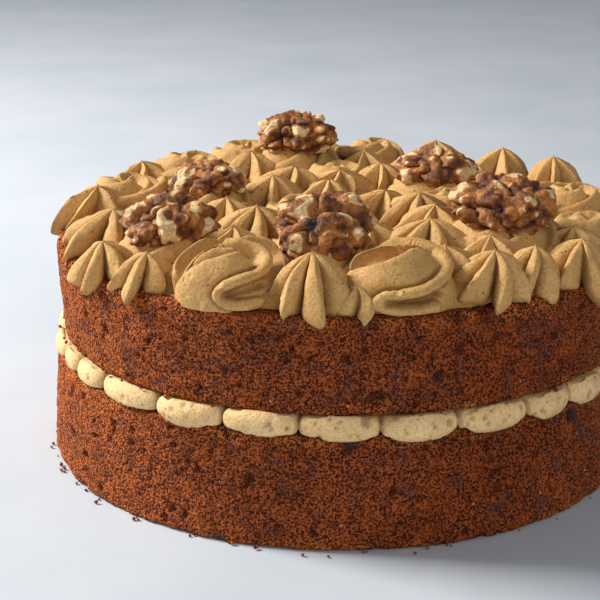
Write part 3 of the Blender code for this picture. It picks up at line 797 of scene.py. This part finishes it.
def ridged(grid, middle, ridges, ropes, hollows):
    """The body of a rosette with its ridges raised and its hollows sunk, and how dark each point is.

    Each ridge has a broad face on its outer side and falls steeply behind a lip that leans in.
    A groove runs behind every lip and on both sides of a rope where it is free of the body, and is
    cut into the other ridges. Narrow creases at the same places and the hollows get painted shade.
    """
    points = grid.reshape(-1, 3)
    body = np.linalg.norm(points - middle, axis=1)
    rays = (points - middle) / body[:, None]
    heights = []
    leans = []
    grooves = []
    creases = []
    for outer, inner, path in ridges:
        nearest, below, away, down = seen_from(rays, path, middle)
        run = np.abs(2 * nearest / (len(path) - 1) - 1)
        rounded = np.hypot(away, LIP_ROUND) - LIP_ROUND
        fall = np.exp(-(rounded / np.where(below > 0, outer, inner)) ** FACE_BEND)
        ends = np.sqrt(1 - RIDGE_ENDS[0] * run ** RIDGE_ENDS[1])
        lift = standing(path, middle, rays, body)[nearest] * ends
        heights.append(lift * fall)
        leans.append(-down * LIP_LEAN * (fall ** LEAN_POWER)[:, None])
        behind = (below < 0) * np.clip(GROOVE_ENDS - GROOVE_ENDS * run, 0, 1)
        grooves.append(1 - GROOVE_DEPTH * (np.exp(-(away / GROOVE_WIDTH) ** 2) * behind))
        # Painted shade in a thin crease just behind the lip.
        creases.append(np.exp(-(away / SHADED_CREASE_WIDTH) ** 2) * behind)
    for width, path in ropes:
        nearest, below, away, down = seen_from(rays, path, middle)
        inside = np.clip(1 - (away / width) ** 2, 0, 1)
        lift = standing(path, middle, rays, body)[nearest] - width * (1 - np.sqrt(inside))
        heights.append(np.where(inside > 0, lift, 0.0))
        leans.append(np.zeros_like(points))
        groove = np.exp(-(np.maximum(0, away - width) / ROPE_GROOVE_WIDTH) ** 2)
        free = np.clip((nearest / (len(path) - 1) - ROPE_LEAVES[0]) / ROPE_LEAVES[1], 0, 1)
        grooves.append(1 - ROPE_GROOVE_DEPTH * groove * free)
        # Painted shade in thin creases beside the rope where it is free of the body.
        beside = np.exp(-(np.maximum(0, away - width) / SHADED_CREASE_WIDTH) ** 2)
        creases.append(beside * (away > SHADED_CREASE_START * width) * free)
    heights = np.array(heights)
    for n in range(len(heights)):
        for m, groove in enumerate(grooves):
            if m != n:
                heights[n] *= groove
    top = heights.argmax(axis=0)
    each = np.arange(len(points))
    height = np.maximum(heights[top, each], 0)
    lean = np.array(leans)[top, each]
    shade = np.max(creases, axis=0)
    for depth, width, path in hollows:
        sunk = np.exp(-(seen_from(rays, path, middle)[2] / width) ** 2)
        height = height - depth * sunk
        shade = np.maximum(shade, sunk)
    move = softened(((rays + lean) * height[:, None]).reshape(grid.shape))
    return grid + move, softened(shade.reshape(grid.shape[:2])).ravel()


def dome(x, y, radius, height, step):
    """Grid of points over the rounded body of a rosette, about step apart."""
    levels = round(DOME_LEVELS * math.hypot(radius, height) / step)
    count = round(math.tau * radius / step)
    turn = np.linspace(0, math.pi / 2, levels, endpoint=False)[:, None]
    around = bearings(count)[None, :]
    reach = radius * np.cos(turn) ** DOME_SQUARENESS
    return outward(round_points(x, y, reach, around, UPPER_TOP - SUNK + height * np.sin(turn)))


def finished(grid, shade, chooser):
    """Closed skin over the ridged body of a rosette, and how dark each of its points is."""
    grid = creamed(grid, chooser.randrange(10 ** 6))
    grid[..., 2] = np.maximum(grid[..., 2], UPPER_TOP - DOME_HANG)
    return skin(grid, end=grid[-1].mean(axis=0)), np.append(shade, 0.0)


def swirl(x, y, radius, height, end, ridges, step, chooser):
    """Rounded body of a rosette with ridges that wind up over it to its middle."""
    middle = np.array([x, y, UPPER_TOP])
    count, sweep = ridges
    run = np.linspace(0, 1, RIDGE_POINTS)
    wound = []
    for k in range(count):
        stray = chooser.uniform(-RIDGE_STRAY, RIDGE_STRAY)
        first = end + FIRST_RIDGE + 360 * k / count + stray
        bearing = np.radians(first + sweep * run)
        reach = radius * (RIDGE_REACH[0] - RIDGE_REACH[1] * run ** RIDGE_REACH[2])
        climb = np.sin(math.pi / 2 * run ** RIDGE_RISE[2])
        level = UPPER_TOP + height * (RIDGE_RISE[0] + RIDGE_RISE[1] * climb)
        wound.append((radius * RIDGE_OUTER, radius * RIDGE_INNER,
                      round_points(x, y, reach, bearing, level)))
    grid = dome(x, y, radius * DOME_SHARE, height * DOME_RISE, step)
    grid, shade = ridged(grid, middle, wound, (), ())
    return finished(drape(grid), shade, chooser)


def rosette(x, y, radius, height, end, sweep, chooser):
    """Swirl of ridged rope, with the last turn of the rope where no walnut sits on it."""
    if not sweep:
        return [swirl(x, y, radius, height, end, HIDDEN_RIDGES, HIDDEN_DOME_STEP, chooser)]
    return [swirl(x, y, radius, height, end, OPEN_RIDGES, OPEN_DOME_STEP, chooser),
            rosette_tail(x, y, radius, height, end, sweep, chooser)]


def front_rosette(x, y, radius, height, number, chooser):
    """Swirl at the front rim, whose ridges run as the photographed ones do."""
    middle = np.array([x, y, UPPER_TOP])

    def placed(points):
        return curve(np.array(points) / MILLIMETRES + middle, RIDGE_POINTS)

    ridges = [(outer / MILLIMETRES, inner / MILLIMETRES, placed(points))
              for outer, inner, points in FRONT_RIDGES[number]]
    width, points = FRONT_ROPES[number]
    rope = (width / MILLIMETRES, placed(points))
    depth, width, points = FRONT_HOLLOWS[number]
    gap = (depth / MILLIMETRES, width / MILLIMETRES, placed(points))
    grid = dome(x, y, radius * DOME_SHARE, height * DOME_RISE, FRONT_DOME_STEP)
    return [finished(*ridged(grid, middle, ridges, (rope,), (gap,)), chooser)]


def tube(path, girth, flat):
    """Rings of a rope along a path, with a girth at each point and a section stretched upwards."""
    along = np.gradient(path, axis=0)
    along /= np.linalg.norm(along, axis=1, keepdims=True)
    up = np.array([0.0, 0.0, 1.0])
    side = np.cross(along, up)
    side /= np.maximum(np.linalg.norm(side, axis=1, keepdims=True), 1e-9)
    over = np.cross(side, along)
    turn = bearings(ROPE_AROUND)
    ring = (side[:, None, :] * np.cos(turn)[None, :, None]
            + over[:, None, :] * np.sin(turn)[None, :, None] * flat)
    return path[:, None, :] + ring * girth[:, None, None]


def rosette_tail(x, y, radius, height, end, sweep, chooser):
    """Last ridge of a rosette's rope, clockwise round its middle to a fold that turns back."""
    girth = radius * ROPE_GIRTH
    run = np.linspace(0, 1, ROPE_STEPS)
    bearing = np.radians(end + sweep * (1 - run))
    orbit = radius * (TAIL_ORBIT[0] + TAIL_ORBIT[1] * run)
    level = UPPER_TOP + height * (TAIL_LEVEL[0] - TAIL_LEVEL[1] * run)
    arc = round_points(x, y, orbit, bearing, level)
    out = np.array([math.cos(bearing[-1]), math.sin(bearing[-1]), 0])
    ahead = np.array([out[1], -out[0], 0])
    fall = out * FOLD_FALL[0] + np.array([0, 0, FOLD_FALL[1]])
    bend = np.linspace(0, math.pi, FOLD_POINTS)[1:, None]
    turn_radius = girth * FOLD_GIRTH
    fold = arc[-1] + turn_radius * (fall * (1 - np.cos(bend)) + ahead * np.sin(bend))
    back = np.linspace(0, 1, FOLD_POINTS)[1:, None]
    rest = (fold[-1] - ahead * TURN_BACK[0] * back - out * TURN_BACK[1] * back
            - np.array([0, 0, TURN_BACK[2]]) * back)
    path = np.concatenate([arc, fold, rest])
    share = np.linspace(0, 1, len(path))
    end_share = ((share - ROPE_TAPER[0]) / ROPE_TAPER[1]).clip(0, 1)
    full = girth * np.minimum(1, ROPE_SWELL[0] + ROPE_SWELL[1] * share) * np.sqrt(
        np.clip(1 - end_share ** 2, ROPE_TAPER[2], 1))
    grid = tube(path, full, ROPE_FLATNESS)
    grid = drape(creamed(outward(grid), chooser.randrange(10 ** 6)))
    made = skin(grid, start=path[0], end=drape(path[-1]))
    return made, np.zeros(len(made[0]))


def fill_stars():
    """Places for plain stars, wherever the others leave room for one."""
    chooser = random.Random(FILL_SEED)
    taken = [values[:3] for values in STARS + ROSETTES]
    added = []
    for orbit in FILL_RINGS:
        for bearing in range(0, 360, FILL_BEARING_STEP):
            x = orbit * math.cos(math.radians(bearing))
            y = orbit * math.sin(math.radians(bearing))
            spacing = min(math.hypot(x - u, y - v) / (FILL_RADIUS + r) for u, v, r in taken)
            if spacing < FILL_SPACING:
                continue
            taken.append((x, y, FILL_RADIUS))
            added.append((x, y, FILL_RADIUS * chooser.uniform(*FILL_RADII),
                          FILL_HEIGHT * chooser.uniform(*FILL_HEIGHTS),
                          chooser.uniform(0, 360), FILL_LOBES, False))
    return added


def base_coat():
    """Bed of buttercream under the piped pieces, worked into soft furrows."""
    share = np.linspace(COAT_START, 1, COAT_RINGS)[:, None]
    angle = bearings(COAT_AROUND)[None, :]
    radius = COAT_RADIUS * share
    flat = round_points(UPPER_SHIFT, 0, radius, angle, 0.0)
    level = UPPER_TOP + COAT_THICKNESS + relief(flat, COAT_FURROWS, 91)
    level = level + relief(flat, COAT_RIPPLES, 92)
    drop, first, width = COAT_DROP
    level = level - drop * np.clip((share - first) / width, 0, 1) ** 2
    top = round_points(UPPER_SHIFT, 0, radius, angle, level)[::-1]
    foot = top[:1].copy()
    foot[..., 2] = UPPER_TOP + GAP
    grid = np.concatenate([foot, top])
    made = skin(grid, end=(UPPER_SHIFT, 0, UPPER_TOP + COAT_THICKNESS))
    # Painted shade all over the base coat, which shows only in the gaps between the piped pieces.
    return made, np.full(len(made[0]), PAINTED_COAT_SHADE)


def topping(surface):
    """All the piped buttercream on top of the cake."""
    chooser = random.Random(TOPPING_SEED)
    rim = [star(*values, STAR_DETAIL, chooser) for values in STARS]
    inner = []
    front = []
    others = []
    for number, values in enumerate(ROSETTES):
        if number in FRONT_RIDGES:
            front += front_rosette(*values[:4], number, chooser)
        else:
            others += rosette(*values, chooser)
    for number, values in enumerate(fill_stars()):
        if number in FILL_SWIRLS:
            others.append(swirl(*values[:5], SMALL_RIDGES, HIDDEN_DOME_STEP, chooser))
        else:
            inner.append(star(*values, FILL_DETAIL, chooser))
    for name, parts in (("piped_stars", rim), ("inner_stars", inner), ("front_rosettes", front),
                        ("piped_rosettes", others), ("base_coat", [base_coat()])):
        new_piece(name, [made for made, _ in parts], surface, "topping",
                  [shade for _, shade in parts])


def walnut(number, values, surface):
    """Walnut half: two wings of rounded brain-like folds with narrow creases between them."""
    x, y, z, length, turn, tip = values
    seed = number * WALNUT_SEED
    around = bearings(WALNUT_AROUND)[None, :]
    rise = (np.pi * (np.arange(1, WALNUT_RINGS) / WALNUT_RINGS - 0.5))[:, None]
    flat = np.cos(rise)
    outline = 1 - WALNUT_ENDS * np.abs(np.cos(around)) ** ENDS_SQUARENESS * flat
    unit = round_points(0, 0, flat, around, np.sin(rise))
    shape = np.array([1, WALNUT_WIDTH, WALNUT_HEIGHT])
    at = unit * shape * length / 2
    fold = np.abs(lumps(warped(at, *FOLD_WARP, seed), FOLD_SIZE, seed + 5)) ** FOLD_BLUNTNESS
    crinkle = np.abs(lumps(at, CRINKLES[0], seed + 6)) ** CRINKLES[2]
    aside = np.sin(around) * flat + CREVICE_BENDS[1] * lumps(at, CREVICE_BENDS[0], seed + 7)
    crevice = np.exp(-(aside / CREVICE_WIDTH) ** 2) * np.maximum(0, np.sin(rise))
    size = length / 2 * (outline * WALNUT_GIRTH - WALNUT_CREVICE * crevice)
    size = size + FOLD_DEPTH * (fold - FOLD_LEVEL) + CRINKLES[1] * crinkle
    body = unit * shape * size[..., None]
    body[..., 2] *= np.where(rise > 0, 1.0, WALNUT_BELLY)
    place = (Matrix.Translation((x, y, z)) @ Matrix.Rotation(math.radians(tip), 4, "X")
             @ Matrix.Rotation(math.radians(turn), 4, "Z"))
    spin = np.array(place)
    grid = body @ spin[:3, :3].T + spin[:3, 3]
    ends = [spin[:3, :3] @ body[k].mean(axis=0) + spin[:3, 3] for k in (0, -1)]
    # Fold height at each point, which the material turns into painted shade in the creases and bare
    # kernel on the folds.
    hollow = np.concatenate([fold.ravel(), fold[0].mean(keepdims=True),
                             fold[-1].mean(keepdims=True)])
    new_piece(f"walnut_half_{number}", [skin(grid, start=ends[0], end=ends[1])], surface,
              f"walnut_{number}", [hollow])


def new_material(name, roughness, specular=0.5):
    """Material, its node tree and its shader."""
    made = bpy.data.materials.new(name)
    made.use_nodes = True
    shader = made.node_tree.nodes["Principled BSDF"]
    shader.inputs["Roughness"].default_value = roughness
    shader.inputs["Specular IOR Level"].default_value = specular
    return made, made.node_tree, shader


def give(tree, socket, value):
    """Links a value to a socket, or sets a constant there."""
    if isinstance(value, bpy.types.NodeSocket):
        tree.links.new(value, socket)
    else:
        socket.default_value = value


def place_in(tree):
    """Where a point lies in the cake's own frame."""
    return tree.nodes.new("ShaderNodeTexCoord").outputs["Object"]


def along(tree, axis):
    """How far a point lies along that axis."""
    split = tree.nodes.new("ShaderNodeSeparateXYZ")
    tree.links.new(place_in(tree), split.inputs["Vector"])
    return split.outputs[axis]


def noise(tree, size, detail=2.0, roughness=0.5, distortion=0.0):
    """Cloudy value between 0 and 1 with features of about that size."""
    made = tree.nodes.new("ShaderNodeTexNoise")
    for key, value in (("Vector", place_in(tree)), ("Scale", 1 / size), ("Detail", detail),
                       ("Roughness", roughness), ("Distortion", distortion)):
        give(tree, made.inputs[key], value)
    return made.outputs["Fac"]


def cells(tree, size):
    """Distance to the nearest of many scattered points, in cells of about that size."""
    made = tree.nodes.new("ShaderNodeTexVoronoi")
    give(tree, made.inputs["Vector"], place_in(tree))
    give(tree, made.inputs["Scale"], 1 / size)
    return made.outputs["Distance"]


def between(tree, value, low, high, start=0.0, end=1.0):
    """Value spread from low..high to start..end and held there."""
    made = tree.nodes.new("ShaderNodeMapRange")
    made.clamp = True
    tree.links.new(value, made.inputs["Value"])
    for key, number in (("From Min", low), ("From Max", high), ("To Min", start), ("To Max", end)):
        made.inputs[key].default_value = number
    return made.outputs["Result"]


def sums(tree, operation, first, second):
    """Arithmetic on two values."""
    made = tree.nodes.new("ShaderNodeMath")
    made.operation = operation
    for socket, value in zip(made.inputs, (first, second)):
        give(tree, socket, value)
    return made.outputs[0]


def blend(tree, amount, first, second):
    """Colour mixed from two colours."""
    made = tree.nodes.new("ShaderNodeMix")
    made.data_type = "RGBA"
    for index, value in ((0, amount), (6, first), (7, second)):
        give(tree, made.inputs[index], (*value, 1.0) if isinstance(value, tuple) else value)
    return made.outputs[2]


def layered(tree, body, layers):
    """Colour with layers over it, each a value, the limits and strengths it is spread to, a colour."""
    for value, spread, colour in layers:
        body = blend(tree, between(tree, value, *spread), body, colour)
    return body


def attribute(tree, name):
    """Value stored with the points of a mesh."""
    made = tree.nodes.new("ShaderNodeAttribute")
    made.attribute_name = name
    return made.outputs["Fac"]


def bumped(tree, shader, heights):
    """Feeds fine relief, a list of height sockets and their depths in metres, to the shader."""
    total = None
    for height, depth in heights:
        part = sums(tree, "MULTIPLY", height, depth)
        total = part if total is None else sums(tree, "ADD", total, part)
    made = tree.nodes.new("ShaderNodeBump")
    made.inputs["Distance"].default_value = 1.0
    made.inputs["Strength"].default_value = 1.0
    tree.links.new(total, made.inputs["Height"])
    tree.links.new(made.outputs["Normal"], shader.inputs["Normal"])


def height_mask(tree, level, reach):
    """1 at that height and 0 further than reach from it."""
    away = sums(tree, "ABSOLUTE", sums(tree, "SUBTRACT", along(tree, "Z"), level), 0.0)
    return between(tree, away, 0.0, reach, 1.0, 0.0)


def sponge_surface(name, bottom, top):
    """Baked crumb: granular orange brown to dark brown, darker in its holes, orange at its edges.

    It turns paler and more orange towards one side of the cake along X, and a little paler again at
    the far side.
    """
    made, tree, shader = new_material(name, 0.92, 0.12)
    grain = noise(tree, 0.00070, 1.0, 0.55)
    lump = noise(tree, 0.0042, 3.0, 0.65)
    tint = noise(tree, 0.0075, 3.0, 0.6)
    patch = noise(tree, 0.030, 3.0, 0.55)
    paler = sums(tree, "ADD", between(tree, along(tree, "X"), *PALE_SIDE),
                 between(tree, patch, 0.35, 0.65, -0.15, 0.20))
    paler = sums(tree, "ADD", paler, between(tree, along(tree, "X"), *FAR_SIDE))
    edge = sums(tree, "MAXIMUM", height_mask(tree, bottom, 0.004), height_mask(tree, top, 0.005))
    bright = sums(tree, "MULTIPLY", edge, between(tree, noise(tree, 0.012, 3.0), 0.42, 0.60))
    dark = blend(tree, paler, *CRUMB_DARK)
    light = blend(tree, paler, *CRUMB_LIGHT)
    light = blend(tree, sums(tree, "MULTIPLY", bright, 0.70), light, EDGE_ORANGE)
    body = blend(tree, between(tree, grain, 0.43, 0.57), dark, light)
    pore = between(tree, sums(tree, "ADD", cells(tree, 0.0013),
                              between(tree, lump, 0.3, 0.7, 0.08, -0.04)), 0.20, 0.34, 0.50, 0.0)
    body = layered(tree, body, (
        (lump, (0.50, 0.70, 0.0, 0.40), dark),
        (tint, (0.52, 0.66, 0.0, 0.22), CRUMB_RUSTY),
        (tint, (0.46, 0.34, 0.0, 0.40), CRUMB_DUSKY),
        (cells(tree, 0.038), (0.050, 0.095, 0.85, 0.0), CRUMB_SMUDGE),
        (cells(tree, 0.0085), (0.035, 0.060, 0.8, 0.0), CRUMB_FLECK),
        # Painted shade in the pores, and in the holes and worn dents that the mesh marks.
        (pore, (0.0, 1.0), PAINTED_CRUMB_SHADE),
        (attribute(tree, "hollow"), (0.15, 0.90, 0.0, 0.72), PAINTED_CRUMB_SHADE),
    ))
    tree.links.new(body, shader.inputs["Base Color"])
    bumped(tree, shader, [(grain, 0.0009), (pore, -0.0005)])
    return made


def cream_surface(name, pale, deep):
    """Coffee buttercream: matt tan, peppered with coffee, with air pricks and soft streaks."""
    made, tree, shader = new_material(name, 0.62, 0.25)
    streak = noise(tree, 0.010, 3.0, 0.55, 0.6)
    fine = noise(tree, 0.0009, 3.0, 0.7)
    body = layered(tree, pale, (
        (streak, (0.35, 0.65), deep),
        (fine, (0.44, 0.62, 0.0, 0.55), tuple(FINE_SHADE * v for v in deep)),
        (cells(tree, 0.0015), (0.10, 0.17, 0.60, 0.0), SMALL_SPECK),
        (cells(tree, 0.0034), (0.075, 0.12, 0.80, 0.0), MIDDLE_SPECK),
        (cells(tree, 0.0085), (0.030, 0.060, 0.85, 0.0), LARGE_SPECK),
        # Painted shade in the clefts, creases, joins, air holes and hollows, and on the base coat.
        (attribute(tree, "hollow"), (0.10, 1.0, 0.0, 0.66), PAINTED_CREAM_SHADE),
    ))
    tree.links.new(body, shader.inputs["Base Color"])
    shader.inputs["Subsurface Weight"].default_value = 0.06
    shader.inputs["Subsurface Radius"].default_value = (1.0, 0.6, 0.3)
    shader.inputs["Subsurface Scale"].default_value = 0.0010
    prick = between(tree, cells(tree, 0.0013), 0.10, 0.26)
    bumped(tree, shader, [(fine, 0.00030), (prick, 0.00012)])
    return made


def walnut_surface():
    """Walnut skin: amber to purple brown, dark in its creases, with bare cream-coloured patches."""
    made, tree, shader = new_material("walnut_skin", 0.46, 0.30)
    tone = noise(tree, 0.006, 3.0, 0.55)
    vein = noise(tree, 0.0014, 3.0, 0.65, 0.8)
    body = layered(tree, NUT_SKIN[0], (
        (tone, (0.37, 0.57), NUT_SKIN[1]),
        (vein, (0.42, 0.60, 0.0, 0.5), NUT_VEIN),
    ))
    bare = sums(tree, "MULTIPLY", between(tree, noise(tree, 0.0060, 1.0, 0.5, 0.3), 0.525, 0.545),
                between(tree, attribute(tree, "hollow"), 0.57, 0.62))
    kernel = blend(tree, between(tree, vein, 0.40, 0.62), *NUT_KERNEL)
    body = layered(tree, body, (
        (bare, (0.0, 1.0), kernel),
        # Darker skin and painted shade in the creases.
        (attribute(tree, "hollow"), (0.34, 0.08, 0.0, 0.92), NUT_CREASE_SKIN_AND_SHADE),
    ))
    tree.links.new(body, shader.inputs["Base Color"])
    bumped(tree, shader, [(vein, 0.0007), (noise(tree, 0.0005, 2.0), 0.00014)])
    return made


def floor():
    """Plain pale floor that the cake stands on."""
    made, tree, shader = new_material("pale_floor", 0.75)
    cloud = noise(tree, 0.09, 4.0, 0.55)
    tone = blend(tree, between(tree, cloud, 0.3, 0.7), *FLOOR_TONES)
    tree.links.new(tone, shader.inputs["Base Color"])
    turns = [math.tau * k / FLOOR_CORNERS for k in range(FLOOR_CORNERS)]
    ring = [(FLOOR_RADIUS * math.cos(a), FLOOR_RADIUS * math.sin(a), 0.0) for a in turns]
    mesh = bpy.data.meshes.new("pale_floor")
    mesh.from_pydata(ring, [], [list(range(FLOOR_CORNERS))])
    mesh.materials.append(made)
    new_object("pale_floor", mesh)


def area_light(name, place, target, size, power, colour):
    """Soft rectangular light that faces a point."""
    lamp = bpy.data.lights.new(name, "AREA")
    lamp.shape = "SQUARE"
    lamp.size = size
    lamp.energy = power
    lamp.color = colour
    holder = new_object(name, lamp)
    holder.location = place
    holder.rotation_euler = (Vector(target) - Vector(place)).to_track_quat("-Z", "Y").to_euler()


def studio():
    """Camera a little above the cake, soft daylight from the left and a pale sky."""
    camera = bpy.data.cameras.new("camera")
    camera.lens = CAMERA_LENS
    camera.sensor_width = 36
    camera.clip_start = 0.01
    holder = new_object("camera", camera)
    holder.location = CAMERA_PLACE
    holder.rotation_euler = [math.radians(angle) for angle in CAMERA_TURN]
    bpy.context.scene.camera = holder
    area_light("window", *WINDOW)
    area_light("bounce", *BOUNCE)
    world = bpy.data.worlds.new("sky")
    world.use_nodes = True
    background = world.node_tree.nodes["Background"]
    background.inputs["Color"].default_value = (*SKY_COLOUR, 1.0)
    background.inputs["Strength"].default_value = SKY_STRENGTH
    bpy.context.scene.world = world
    bpy.context.scene.view_settings.view_transform = "Standard"


lower_crumb = sponge_surface("crumb_lower", 0.0, LOWER_TOP)
upper_crumb = sponge_surface("crumb_upper", UPPER_BOTTOM, UPPER_TOP)
filling_cream = cream_surface("cream_filling", *FILLING_TONES)
topping_cream = cream_surface("cream_topping", *TOPPING_TONES)
nut_skin = walnut_surface()

chance = random.Random(CRUMB_SEED)
fallen = crumbs(FOOT_CRUMBS, chance, foot_place(chance))
squeezed = crumbs(FILLING_CRUMBS, chance, ledge_place(
    chance, UPPER_BOTTOM + 0.0006, UPPER_RADIUS_BOTTOM + 0.0012, 0.0008, UPPER_SHIFT))
shaken = crumbs(RIM_CRUMBS, chance, ledge_place(
    chance, UPPER_TOP - 0.0001, UPPER_RADIUS_TOP - 0.0016, 0.0012, UPPER_SHIFT))
sponge("lower_layer", "sponge_lower", 0.0, LOWER_TOP,
       LOWER_RADIUS_BOTTOM, LOWER_RADIUS_TOP, LOWER_PHASE, 0.0, fallen, lower_crumb)
sponge("upper_layer", "sponge_upper", UPPER_BOTTOM, UPPER_TOP,
       UPPER_RADIUS_BOTTOM, UPPER_RADIUS_TOP, UPPER_PHASE, UPPER_SHIFT, squeezed + shaken,
       upper_crumb)
filling(filling_cream)
topping(topping_cream)
for number, nut in enumerate(WALNUTS, 1):
    walnut(number, nut, nut_skin)
floor()
studio()
